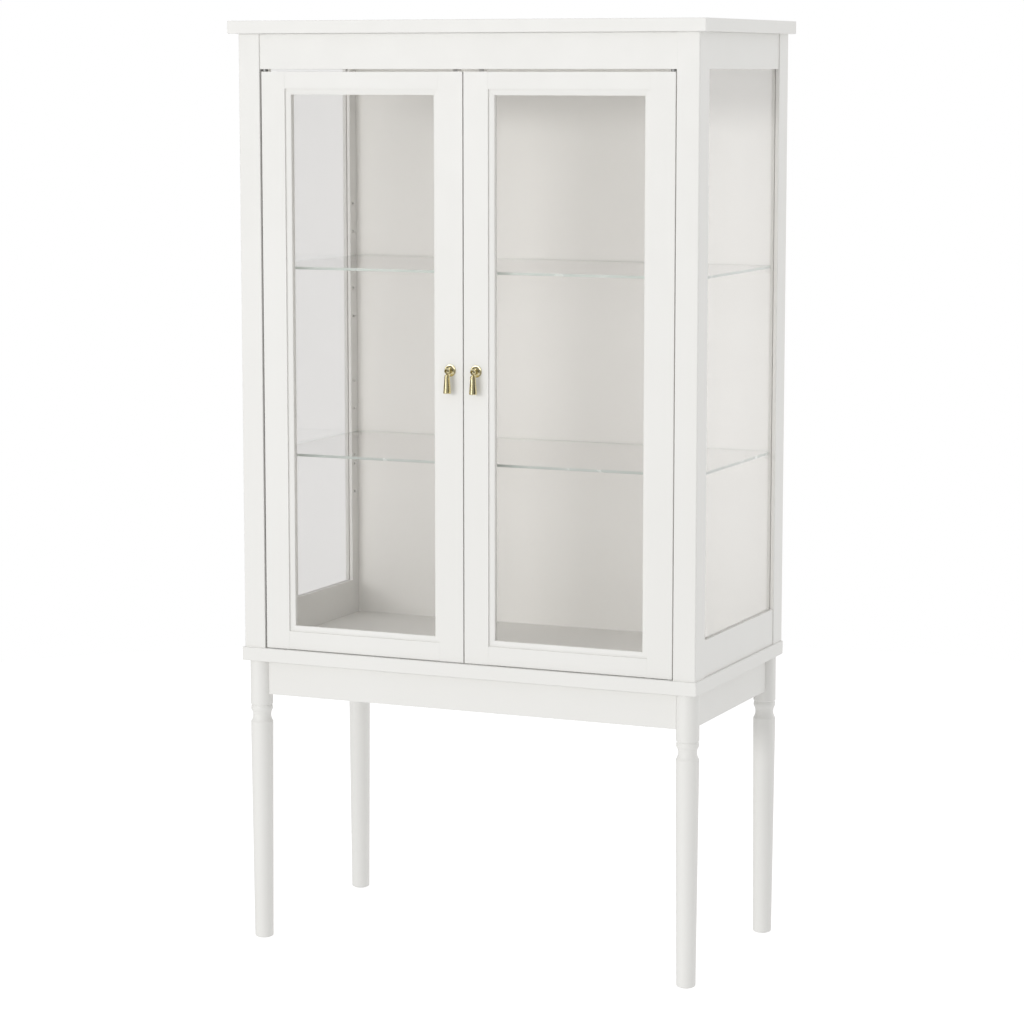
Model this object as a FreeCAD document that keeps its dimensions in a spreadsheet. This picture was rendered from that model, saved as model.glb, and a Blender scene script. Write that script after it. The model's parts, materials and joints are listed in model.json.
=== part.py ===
import FreeCAD, Part
import os
import Sketcher

# Display cabinet: a glazed case with two glazed doors, on a stand with four turned legs.
# Millimetres, +Z up, the doors face -Y, the origin is on the floor at the centre of the plan.

doc = FreeCAD.newDocument("display_cabinet")
Vector = FreeCAD.Vector

# Driving dimensions
SIZES = [
    # Boards
    ("board_width", 760, "top board, left to right"),
    ("board_depth", 391, "top board, front to back"),
    ("top_thick", 19, "top board"),
    ("base_thick", 20.6, "bottom board"),
    ("base_side_inset", 10, "bottom board's ends behind the top board's ends"),
    ("base_front_inset", 7.3, "bottom board's front edge behind the top board's"),
    ("board_easing", 1, "rounding of the two boards' edges"),
    ("case_height", 928, "posts, between the two boards"),
    # Posts
    ("post_side_inset", 12.4, "posts' outer faces behind the top board's ends"),
    ("post_front_inset", 11.4, "front posts' faces behind the top board's edge"),
    ("front_post_width", 35, "front posts, across the front"),
    ("rear_post_width", 15, "rear posts, across the back"),
    ("post_depth", 38, "all posts, front to back"),
    ("post_rounding", 2.5, "front posts' outer corner"),
    ("part_easing", 0.7, "rounding of the other wooden edges"),
    ("joint_easing", 0.3, "rounding where a door rail meets a stile"),
    # Rails of the case
    ("front_rail_recess", 2, "top rail and doors behind the front posts' faces"),
    ("front_rail_thick", 18, "top rail, front to back"),
    ("top_rail_height", 52.4, "top rails of the front and sides"),
    ("side_rail_recess", 1.6, "side rails behind the posts' outer faces"),
    ("side_sill_height", 54.5, "bottom rails of the sides"),
    # Panes and back
    ("glass_thick", 4, "all panes and shelves"),
    ("side_glass_setback", 6, "side panes behind the posts' outer faces"),
    ("groove_depth", 6, "grooves that hold the side panes"),
    ("groove_play", 0.15, "between a pane or panel and each groove wall"),
    ("edge_play", 1, "between a pane's or panel's edge and the groove's floor"),
    ("back_panel_thick", 4, "back panel"),
    ("back_panel_inset", 12, "back panel in front of the posts' rear faces"),
    ("back_groove_depth", 6.5, "grooves that hold the back panel"),
    # Shelves and their pins
    ("lower_shelf_height", 292.6, "lower shelf's underside above the case floor"),
    ("upper_shelf_height", 576.6, "upper shelf's underside above the case floor"),
    ("shelf_side_play", 0.8, "between a shelf and the rear posts"),
    ("shelf_front_play", 1.5, "between a shelf and the front posts"),
    ("shelf_back_play", 2.5, "between a shelf and the back panel"),
    ("pin_radius", 3.4, "shelf pin, outside the post"),
    ("pin_reach", 9, "shelf pin, outside the post"),
    ("pin_stem_radius", 2.5, "shelf pin, in its hole"),
    ("pin_stem_length", 8, "shelf pin, in its hole"),
    ("pin_hole_pitch", 45, "between shelf pin holes"),
    ("rear_pin_setback", 9.5, "rear pins behind the rear posts' front faces"),
    ("front_pin_inset", 9.6, "front pins inside the rear posts' inner faces"),
    # Doors
    ("door_side_gap", 2, "between a door and its front post"),
    ("door_centre_gap", 1.6, "between the two doors"),
    ("door_top_gap", 3.7, "between a door and the top rail"),
    ("door_bottom_gap", 0.9, "between a door and the bottom board"),
    ("door_thick", 20, "door frames"),
    ("door_easing", 1.2, "rounding of a door's hinge edge"),
    ("stile_flat", 39, "stile, up to the moulding"),
    ("door_top_flat", 25, "door's top rail, up to the moulding"),
    ("door_bottom_flat", 27.7, "door's bottom rail, up to the moulding"),
    ("moulding_width", 8.7, "moulding around the glass"),
    ("moulding_step", 2.8, "step where the moulding starts"),
    ("moulding_fall", 4.2, "moulding's inner edge behind the door's face"),
    ("moulding_rise", 0.5, "moulding's round above its chord"),
    ("rebate_width", 7, "rebate that holds the door's glass"),
    ("rebate_setback", 9, "door's glass behind the door's face"),
    ("bead_width", 4, "glazing bead, across the glass"),
    ("bead_play", 0.2, "around a glazing bead"),
    ("tenon_length", 20, "tenons of the door rails"),
    ("tenon_thick", 7, "tenons of the door rails"),
    ("tenon_setback", 9, "tenons behind the door's face"),
    ("tenon_shoulder", 5, "tenons inside the rail's edges"),
    # Pivot hinges
    ("pivot_inset", 5, "pivot behind the door's face and inside its outer edge"),
    ("pivot_radius", 2, "pivot pin"),
    ("pivot_play", 0.05, "pivot pin in its hole, on the radius"),
    ("pivot_reach", 6, "pivot pin inside the door"),
    ("pivot_float", 0.3, "between the top hinges' bosses and the doors"),
    ("leaf_length", 32, "hinge leaf"),
    ("leaf_width", 8, "hinge leaf"),
    ("leaf_thick", 2, "hinge leaf"),
    ("leaf_bed_play", 0.05, "hinge leaf in its bed, on each side"),
    ("hinge_screw_radius", 1.5, "hinge screw, shank"),
    ("hinge_screw_length", 12, "hinge screw, over all"),
    ("hinge_screw_head_radius", 2.8, "hinge screw, head"),
    ("hinge_screw_head", 1.4, "hinge screw, head"),
    # Magnetic catches
    ("catch_width", 8, "catch housing, left to right"),
    ("catch_depth", 12, "catch housing, front to back"),
    ("catch_drop", 15, "catch housing below the top rail"),
    ("catch_rise", 22, "catch housing behind the top rail"),
    ("catch_play", 0.4, "between a closed door and its catch"),
    ("catch_screw_radius", 1.6, "catch screw, shank"),
    ("catch_screw_length", 12, "catch screw, in the rail"),
    ("catch_screw_head_radius", 2.8, "catch screw, head"),
    ("catch_screw_head", 2, "catch screw, head"),
    ("strike_height", 8.3, "strike plate"),
    ("strike_inset", 3, "strike plate below the door's upper edge"),
    ("strike_thick", 1, "strike plate"),
    # Drop pulls
    ("pull_inset", 20.05, "pull inside the door's meeting edge"),
    ("rosette_radius", 8.8, "rosette"),
    ("rosette_rim", 1.4, "rosette's rim"),
    ("rosette_boss_radius", 4.6, "rosette's raised middle"),
    ("rosette_boss", 3.6, "rosette's raised middle in front of the door"),
    ("rosette_cove", 0.6, "hollow between the rim and the middle, below its chord"),
    ("neck_radius", 3, "neck between rosette and knob"),
    ("knob_radius", 4.3, "knob that holds the drop"),
    ("drop_standoff", 11.7, "drop's axis in front of the door"),
    ("drop_length", 33, "drop, below its pivot"),
    ("drop_neck_length", 5.6, "drop's tongue, below its pivot"),
    ("drop_top_radius", 3.9, "drop's shoulder"),
    ("drop_foot_radius", 5.9, "drop's foot"),
    ("drop_foot_rounding", 1.2, "drop's foot edge"),
    ("tongue_thick", 2, "drop's tongue, along its pivot"),
    ("tongue_radius", 1.8, "drop's tongue, around its pivot"),
    ("tongue_play", 0.15, "between the tongue and the knob's slot"),
    ("swing_room", 0.9, "behind the tongue in the knob's slot"),
    ("cross_pin_radius", 0.8, "cross pin in the knob"),
    ("pull_screw_radius", 2, "pull screw, shank"),
    ("pull_screw_grip", 6, "pull screw, in the rosette"),
    ("pull_screw_head_radius", 4, "pull screw, head"),
    ("pull_screw_head", 2.4, "pull screw, head"),
    # Joinery of the case
    ("dowel_radius", 4, "dowel"),
    ("dowel_length", 30, "dowel"),
    ("dowel_inset", 11, "posts' dowels inside the posts' outer faces"),
    ("rear_dowel_inset", 7.5, "rear posts' dowels inside the posts' outer faces"),
    ("post_dowel_setback", 24, "rear dowels in front of the posts' rear faces"),
    ("rail_dowel_gap", 24, "between the two dowels at an end of the top rail"),
    ("hole_play", 0.05, "between a fastener and its hole, on the radius"),
    ("hole_spare", 0.5, "past the end of a dowel or screw"),
    ("overrun", 1, "how far a cut runs past the face that it opens"),
    # Legs
    ("leg_height", 437.8, "floor to bottom board"),
    ("leg_side_inset", 30.8, "leg's axis inside the top board's end"),
    ("leg_front_inset", 30.4, "front legs' axes behind the top board's edge"),
    ("leg_rear_inset", 24.1, "rear legs' axes in front of the rear edge"),
    ("leg_radius", 17.1, "leg, at its top and its shoulder"),
    ("leg_foot_radius", 14.2, "leg, at the floor"),
    ("leg_block", 69.3, "plain cylinder at the leg's top"),
    ("leg_quirk", 1.7, "narrow groove under the plain cylinder, height"),
    ("leg_quirk_depth", 1.5, "narrow groove under the plain cylinder, depth"),
    ("leg_bead", 10, "bead, height"),
    ("leg_bead_depth", 2.2, "bead's lower edge inside the leg's face"),
    ("leg_bead_rise", 1.5, "bead's round above its chord"),
    ("leg_cove", 16.2, "hollow neck, height"),
    ("leg_cove_fall", 2, "hollow neck below its chord"),
    ("leg_foot_rounding", 2, "leg's bottom edge"),
    ("glide_radius", 10, "foot glide"),
    ("glide_thick", 1.2, "foot glide"),
    ("glide_stem_radius", 3, "foot glide's nail"),
    ("glide_stem", 14, "foot glide's nail"),
    # Aprons
    ("apron_height", 53.4, "apron"),
    ("apron_thick", 18, "apron"),
    ("apron_reach", 6.4, "apron's outer face outside the leg's axis"),
    ("apron_play", 0.1, "between an apron's hollow end and the leg"),
    ("base_screw_radius", 2.5, "screw up through an apron, shank"),
    ("base_screw_head_radius", 4.5, "screw up through an apron, head"),
    ("base_screw_head", 3, "screw up through an apron, head"),
    ("base_screw_sink", 25, "depth of its head inside the apron"),
    ("base_screw_grip", 13, "its length in the bottom board"),
    ("base_screw_spacing", 420, "between the two screws of a long apron"),
    # Corner brackets
    ("bracket_thick", 2, "corner bracket's plate"),
    ("bracket_height", 40, "corner bracket"),
    ("bracket_corner", 50, "bracket's bend from the leg's axis"),
    ("bracket_flange", 26, "bracket's flange along an apron"),
    ("bracket_screw_radius", 2, "bracket screw, shank"),
    ("bracket_screw_grip", 12, "bracket screw, in the apron"),
    ("bracket_screw_head_radius", 4, "bracket screw, head"),
    ("bracket_screw_head", 2.4, "bracket screw, head"),
    ("leg_bolt_radius", 4, "leg bolt"),
    ("leg_bolt_start", 3, "leg bolt's inner end from the leg's axis"),
    ("leg_bolt_tail", 4, "leg bolt past its nut"),
    ("nut_width", 13, "nut across its flats"),
    ("nut_thick", 6.5, "nut"),
]

# Places that several pieces share, on the right half of the cabinet
PLACES = [
    ("half_board", "dim.board_width / 2", "top board's right end"),
    ("post_outer", "place.half_board - dim.post_side_inset", "posts' outer face"),
    ("front_post_inner", "place.post_outer - dim.front_post_width", "front post's inner face"),
    ("rear_post_inner", "place.post_outer - dim.rear_post_width", "rear post's inner face"),
    ("base_end", "place.half_board - dim.base_side_inset", "bottom board's right end"),
    ("side_rail_outer", "place.post_outer - dim.side_rail_recess", "side rails' outer face"),
    ("side_glass_outer", "place.post_outer - dim.side_glass_setback", "side pane's outer face"),
    ("leg_x", "place.half_board - dim.leg_side_inset", "legs' axes"),
    ("pull_overhang",
     "dim.drop_standoff + dim.drop_foot_radius - dim.post_front_inset - dim.front_rail_recess",
     "how far the drops stand in front of the top board"),
    ("front_edge", "-(dim.board_depth - place.pull_overhang) / 2", "top board's front edge"),
    ("rear_edge", "place.front_edge + dim.board_depth", "top board's rear edge"),
    ("post_front", "place.front_edge + dim.post_front_inset", "front posts' face"),
    ("front_post_back", "place.post_front + dim.post_depth", "front posts' rear face"),
    ("rear_post_front", "place.rear_edge - dim.post_depth", "rear posts' front face"),
    ("door_front", "place.post_front + dim.front_rail_recess", "doors' and top rail's face"),
    ("door_back", "place.door_front + dim.door_thick", "doors' rear face"),
    ("rail_back", "place.door_front + dim.front_rail_thick", "top rail's rear face"),
    ("panel_back", "place.rear_edge - dim.back_panel_inset", "back panel's rear face"),
    ("panel_front", "place.panel_back - dim.back_panel_thick", "back panel's front face"),
    ("leg_front_y", "place.front_edge + dim.leg_front_inset", "front legs' axes"),
    ("leg_rear_y", "place.rear_edge - dim.leg_rear_inset", "rear legs' axes"),
    ("base_top", "dim.leg_height + dim.base_thick", "case floor"),
    ("case_top", "place.base_top + dim.case_height", "top board's underside"),
    ("rail_under", "place.case_top - dim.top_rail_height", "top rails' underside"),
    ("sill_top", "place.base_top + dim.side_sill_height", "side bottom rails' upper edge"),
    ("apron_under", "dim.leg_height - dim.apron_height", "aprons' lower edge"),
    ("bracket_z", "dim.leg_height - dim.apron_height / 2", "brackets' and leg bolts' middle"),
    ("door_bottom", "place.base_top + dim.door_bottom_gap", "doors' lower edge"),
    ("door_top", "place.rail_under - dim.door_top_gap", "doors' upper edge"),
    ("door_inner", "dim.door_centre_gap / 2", "right door's meeting edge"),
    ("door_outer", "place.front_post_inner - dim.door_side_gap", "right door's hinge edge"),
    ("sight_left", "place.door_inner + dim.stile_flat + dim.moulding_width", "sight edges"),
    ("sight_right", "place.door_outer - dim.stile_flat - dim.moulding_width", "sight edges"),
    ("sight_bottom", "place.door_bottom + dim.door_bottom_flat + dim.moulding_width", "sight edges"),
    ("sight_top", "place.door_top - dim.door_top_flat - dim.moulding_width", "sight edges"),
    ("pane_front", "place.door_front + dim.rebate_setback", "door glass's face"),
    ("pane_back", "place.pane_front + dim.glass_thick", "door glass's rear face"),
    ("pivot_x", "place.door_outer - dim.pivot_inset", "right door's pivot axis"),
    ("pivot_y", "place.door_front + dim.pivot_inset", "doors' pivot axes"),
    ("leaf_left", "place.pivot_x + dim.leaf_width / 2 - dim.leaf_length", "hinge leaves' inner end"),
    ("pull_x", "place.door_inner + dim.pull_inset", "right pull"),
    ("pull_y", "place.door_front - dim.drop_standoff", "drops' pivot axes"),
    ("pull_z", "(place.door_bottom + place.door_top) / 2", "drops' pivot axes"),
    ("slot_half", "dim.tongue_thick / 2 + dim.tongue_play", "half the knob's slot"),
    ("slot_top", "dim.tongue_radius + dim.tongue_play * 2", "slot's upper wall above the pivot"),
    ("slot_back", "dim.tongue_radius + dim.swing_room", "slot's rear wall behind the pivot"),
    ("catch_front", "place.door_back + dim.catch_play", "catch's magnet face"),
    ("catch_back", "place.catch_front + dim.catch_depth", "catch's rear face"),
]

dim = doc.addObject("Spreadsheet::Sheet", "dim")
for row, (alias, size, note) in enumerate(SIZES, 1):
    dim.set(f"A{row}", note)
    dim.set(f"B{row}", str(size))
    dim.setAlias(f"B{row}", alias)

place = doc.addObject("Spreadsheet::Sheet", "place")
for row, (alias, formula, note) in enumerate(PLACES, 1):
    place.set(f"A{row}", note)
    place.set(f"B{row}", "=" + formula.replace("place.", ""))
    place.setAlias(f"B{row}", alias)
doc.recompute()

LEFT = Vector(-1, 0, 0)
RIGHT = Vector(1, 0, 0)
FORWARD = Vector(0, -1, 0)
BACK = Vector(0, 1, 0)
UP = Vector(0, 0, 1)
DOWN = Vector(0, 0, -1)
TOUCHING = 1e-6

pieces = []


def value(expression):
    return float(dim.evalExpression(expression))


def bind(item, **expressions):
    for name, expression in expressions.items():
        item.setExpression(name, expression)
    return item


def put(item, x, y, z):
    """Place an item by expressions, keeping its rotation."""
    for axis, expression in zip("xyz", (x, y, z)):
        item.setExpression("Placement.Base." + axis, expression)
    return item


def turn(item, direction):
    """Point an item's own Z axis along a direction."""
    item.Placement = FreeCAD.Placement(Vector(), FreeCAD.Rotation(UP, direction))
    return item


def keep(item, label):
    """Name an item as a finished piece."""
    item.Label = label
    pieces.append(item)
    return item


def mirrored(label, source):
    """The same piece on the cabinet's left half."""
    copy = doc.addObject("Part::Mirroring", label)
    copy.Source = source
    copy.Normal = RIGHT
    return keep(copy, label)


def group(label, members):
    """Like pieces that share one node."""
    compound = doc.addObject("Part::Compound", label)
    compound.Links = members
    return keep(compound, label)


def block(body, kind, low, high):
    """A box feature between two corners."""
    feature = body.newObject("PartDesign::" + kind + "Box", kind.lower() + "_box")
    put(feature, *low)
    bind(feature, **{
        name: f"({far}) - ({near})"
        for name, near, far in zip(("Length", "Width", "Height"), low, high)
    })
    return feature


def slot(body, low, high):
    return block(body, "Subtractive", low, high)


def round_feature(body, kind, start, direction, radius, length):
    feature = body.newObject("PartDesign::" + kind + "Cylinder", kind.lower() + "_cylinder")
    turn(feature, direction)
    put(feature, *start)
    return bind(feature, Radius=radius, Height=length)


def drill(body, start, direction, radius, depth):
    return round_feature(body, "Subtractive", start, direction, radius, depth)


def runs_along(direction):
    """Picks a body's straight edges that run along a direction."""
    def pick(edge):
        return edge.tangentAt(edge.FirstParameter).cross(direction).Length < TOUCHING
    return pick


def near(edge, axis, expression):
    """Whether an edge lies at a place along an axis."""
    return abs(getattr(edge.CenterOfMass, axis) - value(expression)) < TOUCHING


def ease(body, radius, pick=None):
    """Round the picked edges of a body, or all of them."""
    base = body.Tip
    doc.recompute()
    names = [
        f"Edge{number}"
        for number, edge in enumerate(base.Shape.Edges, 1)
        if pick is None or pick(edge)
    ]
    fillet = body.newObject("PartDesign::Fillet", "easing")
    fillet.Base = (base, names)
    bind(fillet, Radius=radius)
    return fillet


def board(name, low, high):
    body = doc.addObject("PartDesign::Body", name)
    block(body, "Additive", low, high)
    return body


def rod(start, direction, radius, length):
    """A free cylinder, by expressions."""
    cylinder = doc.addObject("Part::Cylinder", "rod")
    turn(cylinder, direction)
    put(cylinder, *start)
    return bind(cylinder, Radius=radius, Height=length)


def joined(members):
    fusion = doc.addObject("Part::MultiFuse", "joined")
    fusion.Shapes = members
    return fusion


def plane(body, role):
    return next(item for item in body.Origin.OriginFeatures if item.Role == role)


def arch(start, end, rise):
    """Radius of an arc that rises above its chord by a given height."""
    chord = f"((({end[0]}) - ({start[0]})) ^ 2 + (({end[1]}) - ({start[1]})) ^ 2)"
    return f"({chord} / (8 * {rise}) + {rise} / 2)"


def outline(body, role, points, offset=None):
    """A closed sketch. A point is (x, y), or (x, y, radius, side) where an arc leads on from it
    to the next point: side 1 has the arc's centre on the left of that way, -1 on the right."""
    sketch = body.newObject("Sketcher::SketchObject", "outline")
    sketch.AttachmentSupport = [(plane(body, role), "")]
    sketch.MapMode = "FlatFace"
    if offset:
        sketch.setExpression("AttachmentOffset.Base.z", offset)
    corners = [Vector(value(point[0]), value(point[1]), 0) for point in points]
    starts = []
    ends = []
    for number, point in enumerate(points):
        here = corners[number]
        there = corners[(number + 1) % len(corners)]
        if len(point) == 2:
            sketch.addGeometry(Part.LineSegment(here, there))
            starts.append(1)
            ends.append(2)
            continue
        radius = value(point[2])
        side = point[3]
        half = (there - here) / 2
        across = Vector(-half.y, half.x, 0).normalize() * side
        centre = here + half + across * (radius ** 2 - half.Length ** 2) ** 0.5
        first, last = (here, there) if side > 0 else (there, here)
        circle = Part.Circle(centre, UP, radius)
        sketch.addGeometry(Part.ArcOfCircle(circle, circle.parameter(first), circle.parameter(last)))
        starts.append(1 if side > 0 else 2)
        ends.append(2 if side > 0 else 1)
        index = sketch.addConstraint(Sketcher.Constraint("Radius", number, radius))
        sketch.setExpression(f"Constraints[{index}]", point[2])
    for number, point in enumerate(points):
        following = (number + 1) % len(points)
        sketch.addConstraint(
            Sketcher.Constraint("Coincident", number, ends[number], following, starts[following]))
        for kind, expression, size in zip(("DistanceX", "DistanceY"), point, corners[number]):
            index = sketch.addConstraint(
                Sketcher.Constraint(kind, -1, 1, number, starts[number], size))
            sketch.setExpression(f"Constraints[{index}]", expression)
    return sketch


def pad(body, sketch, length):
    feature = body.newObject("PartDesign::Pad", "pad")
    feature.Profile = sketch
    return bind(feature, Length=length)


def pocket_through(body, sketch):
    feature = body.newObject("PartDesign::Pocket", "pocket")
    feature.Profile = sketch
    feature.Type = "ThroughAll"
    feature.SideType = "Symmetric"
    return feature


def revolve(body, sketch):
    feature = body.newObject("PartDesign::Revolution", "revolution")
    feature.Profile = sketch
    feature.ReferenceAxis = (sketch, ["V_Axis"])
    return feature


# Top and bottom boards
def back_groove(body, low_z, high_z):
    """The back panel's groove in a board."""
    slot(body,
         ("-(place.rear_post_inner + dim.back_groove_depth)", "place.panel_front - dim.groove_play", low_z),
         ("place.rear_post_inner + dim.back_groove_depth", "place.panel_back + dim.groove_play", high_z))


top_board = board(
    "top_board",
    ("-place.half_board", "place.front_edge", "place.case_top"),
    ("place.half_board", "place.rear_edge", "place.case_top + dim.top_thick"))
ease(top_board, "dim.board_easing")
back_groove(top_board, "place.case_top - dim.overrun", "place.case_top + dim.back_groove_depth")

bottom_board = board(
    "bottom_board",
    ("-place.base_end", "place.front_edge + dim.base_front_inset", "dim.leg_height"),
    ("place.base_end", "place.rear_edge", "place.base_top"))
ease(bottom_board, "dim.board_easing")
back_groove(bottom_board, "place.base_top - dim.back_groove_depth", "place.base_top + dim.overrun")


# Posts of the right side
def pane_groove(body, low_y, high_y, low_z, high_z):
    """The right side pane's groove in a post or rail."""
    slot(body,
         ("place.side_glass_outer - dim.glass_thick - dim.groove_play", low_y, low_z),
         ("place.side_glass_outer + dim.groove_play", high_y, high_z))


front_post = board(
    "front_post_right",
    ("place.front_post_inner", "place.post_front", "place.base_top"),
    ("place.post_outer", "place.front_post_back", "place.case_top"))


def is_outer_corner(edge):
    return near(edge, "x", "place.post_outer") and near(edge, "y", "place.post_front")


def is_other_corner(edge):
    middle = edge.CenterOfMass
    at_side = middle.x > value("place.post_outer - dim.post_rounding") - TOUCHING
    at_front = middle.y < value("place.post_front + dim.post_rounding") + TOUCHING
    return runs_along(UP)(edge) and not (at_side and at_front)


ease(front_post, "dim.post_rounding", is_outer_corner)
ease(front_post, "dim.part_easing", is_other_corner)
pane_groove(front_post, "place.front_post_back - dim.groove_depth", "place.front_post_back + dim.overrun",
            "place.base_top - dim.overrun", "place.case_top + dim.overrun")

rear_post = board(
    "rear_post_right",
    ("place.rear_post_inner", "place.rear_post_front", "place.base_top"),
    ("place.post_outer", "place.rear_edge", "place.case_top"))
ease(rear_post, "dim.part_easing", runs_along(UP))
pane_groove(rear_post, "place.rear_post_front - dim.overrun", "place.rear_post_front + dim.groove_depth",
            "place.base_top - dim.overrun", "place.case_top + dim.overrun")
slot(rear_post,
     ("place.rear_post_inner - dim.overrun", "place.panel_front - dim.groove_play",
      "place.base_top - dim.overrun"),
     ("place.rear_post_inner + dim.back_groove_depth", "place.panel_back + dim.groove_play",
      "place.case_top + dim.overrun"))

# Rails of the case
front_top_rail = board(
    "front_top_rail",
    ("-place.front_post_inner", "place.door_front", "place.rail_under"),
    ("place.front_post_inner", "place.rail_back", "place.case_top"))
ease(front_top_rail, "dim.part_easing", runs_along(RIGHT))


def side_rail(name, low_z, high_z, groove_low, groove_high):
    """A side rail with a stub tenon at each end, in the posts' pane grooves."""
    body = board(
        name,
        ("place.rear_post_inner", "place.front_post_back", low_z),
        ("place.side_rail_outer", "place.rear_post_front", high_z))
    ease(body, "dim.part_easing", runs_along(BACK))
    block(body, "Additive",
          ("place.side_glass_outer - dim.glass_thick",
           "place.front_post_back - dim.groove_depth + dim.edge_play", low_z),
          ("place.side_glass_outer",
           "place.rear_post_front + dim.groove_depth - dim.edge_play", high_z))
    pane_groove(body, "place.front_post_back - dim.groove_depth", "place.rear_post_front + dim.groove_depth",
                groove_low, groove_high)
    return body


side_top_rail = side_rail(
    "side_top_rail_right", "place.rail_under", "place.case_top",
    "place.rail_under - dim.overrun", "place.rail_under + dim.groove_depth")
side_bottom_rail = side_rail(
    "side_bottom_rail_right", "place.base_top", "place.sill_top",
    "place.sill_top - dim.groove_depth", "place.sill_top + dim.overrun")

# Side panes and back panel
pane_edge = "dim.groove_depth - dim.edge_play"
side_glass = board(
    "side_glass_right",
    ("place.side_glass_outer - dim.glass_thick", f"place.front_post_back - ({pane_edge})",
     f"place.sill_top - ({pane_edge})"),
    ("place.side_glass_outer", f"place.rear_post_front + {pane_edge}", f"place.rail_under + {pane_edge}"))

panel_edge = "dim.back_groove_depth - dim.edge_play"
back_panel = board(
    "back_panel",
    (f"-(place.rear_post_inner + {panel_edge})", "place.panel_front", f"place.base_top - ({panel_edge})"),
    (f"place.rear_post_inner + {panel_edge}", "place.panel_back", f"place.case_top + {panel_edge}"))


# Shelves on pins, with spare pin holes above and below
def shelf(label, height):
    body = board(
        label,
        ("-(place.rear_post_inner - dim.shelf_side_play)", "place.front_post_back + dim.shelf_front_play",
         f"place.base_top + {height}"),
        ("place.rear_post_inner - dim.shelf_side_play", "place.panel_front - dim.shelf_back_play",
         f"place.base_top + {height} + dim.glass_thick"))
    return keep(body, label)


SPARE_HOLES = (-2, -1, 0, 1, 2)
shelf_pins = []
for height in ("dim.lower_shelf_height", "dim.upper_shelf_height"):
    pin_z = f"place.base_top + {height} - dim.pin_radius"
    front_pin = ("place.rear_post_inner - dim.front_pin_inset", "place.front_post_back", pin_z)
    rear_pin = ("place.rear_post_inner", "place.rear_post_front + dim.rear_pin_setback", pin_z)
    for post, (x, y, z), inward, outward in (
            (front_post, front_pin, FORWARD, BACK), (rear_post, rear_pin, RIGHT, LEFT)):
        for step in SPARE_HOLES:
            drill(post, (x, y, f"{z} + {step} * dim.pin_hole_pitch"), inward,
                  "dim.pin_stem_radius + dim.hole_play", "dim.pin_stem_length + dim.hole_spare")
        stem = rod((x, y, z), inward, "dim.pin_stem_radius", "dim.pin_stem_length")
        peg = rod((x, y, z), outward, "dim.pin_radius", "dim.pin_reach")
        right_pin = joined([stem, peg])
        left_pin = doc.addObject("Part::Mirroring", "left_pin")
        left_pin.Source = right_pin
        left_pin.Normal = RIGHT
        shelf_pins += [right_pin, left_pin]

# Dowels of the case: (place, direction, boards drilled)
dowel_half = "dim.dowel_length / 2"
rail_middle_y = "place.door_front + dim.front_rail_thick / 2"
rail_middle_z = "place.case_top - dim.top_rail_height / 2"
side_middle_x = "(place.rear_post_inner + place.side_rail_outer) / 2"
side_middle_y = "(place.front_post_back + place.rear_post_front) / 2"
front_dowel = ("place.post_outer - dim.dowel_inset", rail_middle_y)
rear_dowel = ("place.post_outer - dim.rear_dowel_inset", "place.rear_edge - dim.post_dowel_setback")
DOWELS = [
    ((*front_dowel, "place.base_top"), UP, (bottom_board, front_post)),
    ((*front_dowel, "place.case_top"), UP, (top_board, front_post)),
    ((*rear_dowel, "place.base_top"), UP, (bottom_board, rear_post)),
    ((*rear_dowel, "place.case_top"), UP, (top_board, rear_post)),
    ((side_middle_x, side_middle_y, "place.base_top"), UP, (bottom_board, side_bottom_rail)),
    ((side_middle_x, side_middle_y, "place.case_top"), UP, (top_board, side_top_rail)),
    (("place.front_post_inner / 2", rail_middle_y, "place.case_top"), UP, (top_board, front_top_rail)),
    (("place.front_post_inner", rail_middle_y, f"{rail_middle_z} - dim.rail_dowel_gap / 2"), RIGHT,
     (front_top_rail, front_post)),
    (("place.front_post_inner", rail_middle_y, f"{rail_middle_z} + dim.rail_dowel_gap / 2"), RIGHT,
     (front_top_rail, front_post)),
]
WHOLE_WIDTH = (top_board, bottom_board, front_top_rail)


def along(start, direction, distance):
    """A place moved along a direction by an expression."""
    return tuple(f"{base} + ({part}) * ({distance})" for base, part in zip(start, direction))


def across(start):
    """The same place on the cabinet's left half."""
    return (f"-({start[0]})", start[1], start[2])


dowels = []
for middle, direction, drilled in DOWELS:
    foot = along(middle, direction, f"-{dowel_half}")
    hole = along(middle, direction, f"-({dowel_half} + dim.hole_spare)")
    hole_size = ("dim.dowel_radius + dim.hole_play", "dim.dowel_length + 2 * dim.hole_spare")
    mirrored_direction = Vector(-direction.x, direction.y, direction.z)
    dowels.append(rod(foot, direction, "dim.dowel_radius", "dim.dowel_length"))
    dowels.append(rod(across(foot), mirrored_direction, "dim.dowel_radius", "dim.dowel_length"))
    for body in drilled:
        drill(body, hole, direction, *hole_size)
        if body in WHOLE_WIDTH:
            drill(body, across(hole), mirrored_direction, *hole_size)


# Right door: stiles at full height, rails between them, a mitred moulding around the glass
def member_profile(flat):
    """Points of a door member's section: (distance from the outer edge, depth behind the face)."""
    sight = f"{flat} + dim.moulding_width"
    wall = f"{sight} - dim.rebate_width"
    return [
        ("0", "0"),
        (flat, "0"),
        (flat, "dim.moulding_step"),
        (sight, "dim.moulding_fall"),
        (sight, "dim.rebate_setback"),
        (wall, "dim.rebate_setback"),
        (wall, "dim.door_thick"),
        ("0", "dim.door_thick"),
    ]


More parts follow.
